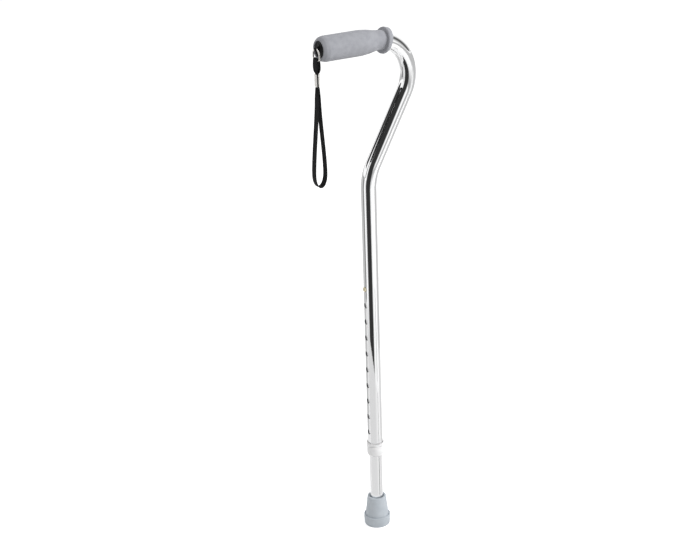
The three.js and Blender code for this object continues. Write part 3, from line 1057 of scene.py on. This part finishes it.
def white_nylon():
    """Injection moulded nylon: slightly translucent, with a soft grain."""
    material, tree, shader = new_material(
        "white_nylon",
        Subsurface_Weight=0.5,
        Subsurface_Radius=(1.0, 0.97, 0.94),
        Subsurface_Scale=0.005,
    )
    place = object_coordinates(tree)
    cloud = noise_of(tree, place, 120, 3.0)
    fine = noise_of(tree, place, 1400, 2.0)
    feed(
        tree,
        shader,
        Base_Color=colour_between(
            tree, cloud, [(0.3, (0.91, 0.90, 0.90)), (0.7, (0.94, 0.93, 0.93))]
        ),
        Roughness=spread_over(tree, cloud, 0.38, 0.50),
        Normal=bump(tree, fine, 0.12, 0.0001),
    )
    return material


def plain_metal(name, dark, light, low, high):
    """Small metal parts: polished or plated, with handling marks in the gloss."""
    material, tree, shader = new_material(name, Metallic=1.0)
    place = object_coordinates(tree)
    cloud = noise_of(tree, place, 260, 3.0)
    marks = noise_of(tree, place, 1500, 4.0)
    feed(
        tree,
        shader,
        Base_Color=colour_between(tree, cloud, [(0.35, dark), (0.65, light)]),
        Roughness=spread_over(tree, marks, low, high),
        Normal=bump(tree, marks, 0.06, 0.00005),
    )
    return material


def nickel_plate():
    return plain_metal("nickel_plate", (0.93, 0.91, 0.87), (0.97, 0.95, 0.92), 0.08, 0.22)


def button_brass():
    return plain_metal("button_brass", (0.86, 0.76, 0.52), (0.92, 0.84, 0.62), 0.18, 0.34)


def spring_steel():
    return plain_metal("spring_steel", (0.42, 0.42, 0.44), (0.52, 0.52, 0.54), 0.28, 0.45)


RIB_PITCH = 0.00075
PICK_LENGTH = 0.0016


def black_webbing():
    """Woven nylon: warp ribs along the strap, with picks half a step from their neighbours'.
    Its black is painted darker where the weave is low, as painted shade, and varies with random
    fuzz.
    """
    material, tree, shader = new_material(
        "black_webbing",
        Roughness=0.8,
        Specular_IOR_Level=0.12,
        Sheen_Weight=0.04,
        Sheen_Roughness=0.45,
    )
    place = stored_coordinates(tree, "cloth")
    split = add_node(tree, "ShaderNodeSeparateXYZ", {"Vector": place})
    across = calculate(tree, "DIVIDE", split.outputs["X"], RIB_PITCH)
    along = calculate(tree, "DIVIDE", split.outputs["Y"], PICK_LENGTH)
    half_turns = calculate(tree, "MULTIPLY", across, math.pi)
    rib = calculate(tree, "ABSOLUTE", calculate(tree, "SINE", half_turns))
    step = calculate(tree, "MULTIPLY", calculate(tree, "FLOOR", across), math.pi)
    wave = calculate(tree, "ADD", calculate(tree, "MULTIPLY", along, TURN), step)
    pick = spread_over(tree, calculate(tree, "SINE", wave), 0.55, 0.85)
    weave = calculate(tree, "MULTIPLY", rib, pick)
    fuzz = noise_of(tree, place, 2500, 3.0)
    height = calculate(tree, "ADD", weave, calculate(tree, "MULTIPLY", fuzz, 0.3))
    # The colour follows the weave's height: its hollows are painted darker as painted shade, and
    # the fuzz varies it at random.
    blacks = [(0.2, (0.004, 0.004, 0.004)), (1.0, (0.016, 0.016, 0.018))]
    feed(
        tree,
        shader,
        Base_Color=colour_between(tree, height, blacks),
        Normal=bump(tree, height, 0.6, 0.0003),
    )
    return material


# --- Assembly -----------------------------------------------------------------------------------


def dress(piece, node, material):
    """Gives a finished piece its material, and hides the CAD node that it stands for."""
    piece.data.materials.clear()
    piece.data.materials.append(material)
    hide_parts(node)
    return piece


def stand_in(piece, node, body, material):
    """Dresses a finished piece, and lets it ride on its CAD node's body."""
    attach(piece, body)
    return dress(piece, node, material)


def add_strap():
    strap, route = build_wrist_strap()
    stand_in(strap, "wrist_strap", "strap", black_webbing())
    nickel = nickel_plate()
    crimp = stand_in(build_strap_crimp(), "strap_crimp", "strap", nickel)
    stand_in(build_strap_ring(), "strap_ring", "ring", nickel)


def add_handle(aluminium, nylon):
    stand_in(build_upper_tube(), "upper_tube", "handle", aluminium)
    grip = stand_in(build_foam_grip(), "foam_grip", "handle", grip_foam())
    stand_in(build_end_cap(), "grip_end_cap", "handle", cap_rubber())
    stand_in(build_collar_bush(), "collar_bush", "handle", nylon)


def add_leg(aluminium, steel):
    stand_in(build_lower_tube(), "lower_tube", "leg", aluminium)
    stand_in(build_rubber_tip(), "rubber_tip", "leg", tip_rubber())
    stand_in(build_tip_washer(), "tip_washer", "leg", steel)
    spring = dress(build_button_spring(), "button_spring", steel)
    bend_with_button(spring)


# --- Studio -------------------------------------------------------------------------------------


def add_floor():
    """Pale paper that the camera sees as nearly white."""
    bm = bmesh.new()
    bmesh.ops.create_grid(bm, x_segments=1, y_segments=1, size=12)
    floor = to_object("studio_floor", bm)
    material, tree, shader = new_material(
        "studio_paper",
        Base_Color=(0.80, 0.80, 0.80, 1),
        Roughness=1.0,
        Specular_IOR_Level=0.0,
        Emission_Color=(1, 1, 1, 1),
    )
    path = add_node(tree, "ShaderNodeLightPath")
    glow = spread_over(tree, path.outputs["Is Camera Ray"], 0.02, 0.52)
    feed(tree, shader, Emission_Strength=glow)
    floor.data.materials.append(material)


def light_world():
    """White surroundings, at full strength where they are seen or mirrored."""
    world = bpy.data.worlds.new("studio")
    world.use_nodes = True
    tree = world.node_tree
    path = add_node(tree, "ShaderNodeLightPath")
    strength = spread_over(tree, path.outputs["Is Diffuse Ray"], 1.08, 0.60)
    background = tree.nodes["Background"]
    background.inputs["Color"].default_value = (1, 1, 1, 1)
    tree.links.new(strength, background.inputs["Strength"])
    bpy.context.scene.world = world


def add_flag(name, azimuths, distance, heights, grey, fades, slant=0.0):
    """A curved studio card round the cane that only reflections show. Its upright edges fade, and
    its top comes down by slant from its start to its end."""
    start, end = azimuths
    foot, top = heights
    columns = 60
    bm = bmesh.new()
    fade_layer = bm.verts.layers.float.new("fade")
    pairs = []
    for k in range(columns + 1):
        azimuth = start + (end - start) * k / columns
        share = min((azimuth - start) / fades[0], (end - azimuth) / fades[1])
        angle = math.radians(azimuth)
        pair = []
        for z in (foot, top - slant * k / columns):
            place = (distance * math.cos(angle), distance * math.sin(angle), z)
            vertex = bm.verts.new(place)
            vertex[fade_layer] = min(1, share)
            pair.append(vertex)
        pairs.append(pair)
    for (a, b), (c, d) in zip(pairs, pairs[1:]):
        bm.faces.new((a, c, d, b))
    flag = to_object(name, bm)
    flag.data.materials.append(flag_material(name, grey))
    for ray in ("camera", "diffuse", "transmission", "volume_scatter", "shadow"):
        setattr(flag, "visible_" + ray, False)


def flag_material(name, grey):
    material = bpy.data.materials.new(name)
    material.use_nodes = True
    tree = material.node_tree
    tree.nodes.clear()
    fade = add_node(tree, "ShaderNodeAttribute", attribute_name="fade").outputs["Fac"]
    card = add_node(tree, "ShaderNodeEmission", {"Color": (grey, grey, grey, 1)})
    clear = add_node(tree, "ShaderNodeBsdfTransparent")
    mix = add_node(
        tree, "ShaderNodeMixShader", {0: fade, 1: clear.outputs[0], 2: card.outputs[0]}
    )
    add_node(tree, "ShaderNodeOutputMaterial", {"Surface": mix.outputs[0]})
    return material


def add_soft_box(name, place, size, power, target=(0, 0, 0.4)):
    """A square area light that points at the cane and isn't mirrored in it."""
    light = bpy.data.lights.new(name, "AREA")
    light.size = size
    light.energy = power
    lamp = link(bpy.data.objects.new(name, light))
    lamp.location = place
    lamp.rotation_euler = (Vector(target) - Vector(place)).to_track_quat("-Z", "Y").to_euler()
    lamp.visible_glossy = False


def add_studio():
    add_floor()
    light_world()
    add_soft_box("key_light", (1.15, -1.4, 1.7), 1.2, 42)
    add_soft_box("fill_light", (-0.5, 1.9, 1.4), 1.4, 16)
    # The darkest cards are mirrored as the tubes' dark bands, and the grey ones as their shaded
    # edges. The low ones stand where the lower shaft and the leg mirror them.
    add_flag("front_flag", (-169, -97), 0.50, (0.0, 1.10), 0.036, (10, 12))
    add_flag("near_front_line", (-71, -58), 0.07, (0.002, 0.085), 0.12, (3, 3))
    add_flag("upper_front_flag", (136, 222), 1.2, (1.16, 2.3), 0.025, (14, 14))
    add_flag("upper_right_flag", (96, 154), 1.25, (0.80, 2.3), 0.035, (14, 12))
    add_flag("right_flag", (74, 148), 0.30, (0.0, 0.54), 0.58, (34, 6))
    add_flag("far_right_flag", (134, 168), 0.82, (0.0, 0.56), 0.24, (6, 8))
    add_flag("left_card", (164, 194), 0.80, (0.0, 0.95), 1.10, (8, 8))
    add_flag("rear_flag", (-48, 18), 0.60, (0.0, 0.70), 0.56, (24, 24))
    add_flag("upper_rear_flag", (-44, 28), 1.1, (0.72, 1.9), 0.11, (26, 30))
    add_flag("low_front_card", (160, 296), 0.25, (0.0, 0.232), 0.74, (10, 50), slant=0.142)
    add_flag("low_rear_flag", (-46, 16), 0.25, (0.0, 0.175), 0.72, (20, 20))
    add_flag("low_leg_card", (150, 292), 0.09, (0.002, 0.085), 0.76, (10, 40))
    add_flag("low_leg_rear_card", (-50, 20), 0.09, (0.002, 0.085), 0.80, (10, 30))
    add_flag("front_line", (-74, -62), 0.48, (0.0, 0.18), 0.50, (4, 4))
    add_flag("low_front_line", (-72, -60), 0.24, (0.0, 0.105), 0.50, (4, 4))
    scene = bpy.context.scene
    scene.view_settings.view_transform = "Standard"
    scene.view_settings.look = "None"


# --- The cane -----------------------------------------------------------------------------------

add_camera()
add_strap()
tube_finish = polished_aluminium()
nylon_finish = white_nylon()
steel_finish = spring_steel()
add_handle(tube_finish, nylon_finish)
add_leg(tube_finish, steel_finish)
stand_in(build_snap_button(), "snap_button", "button", button_brass())
stand_in(build_lock_ring(), "lock_ring", "locknut", nylon_finish)
add_studio()
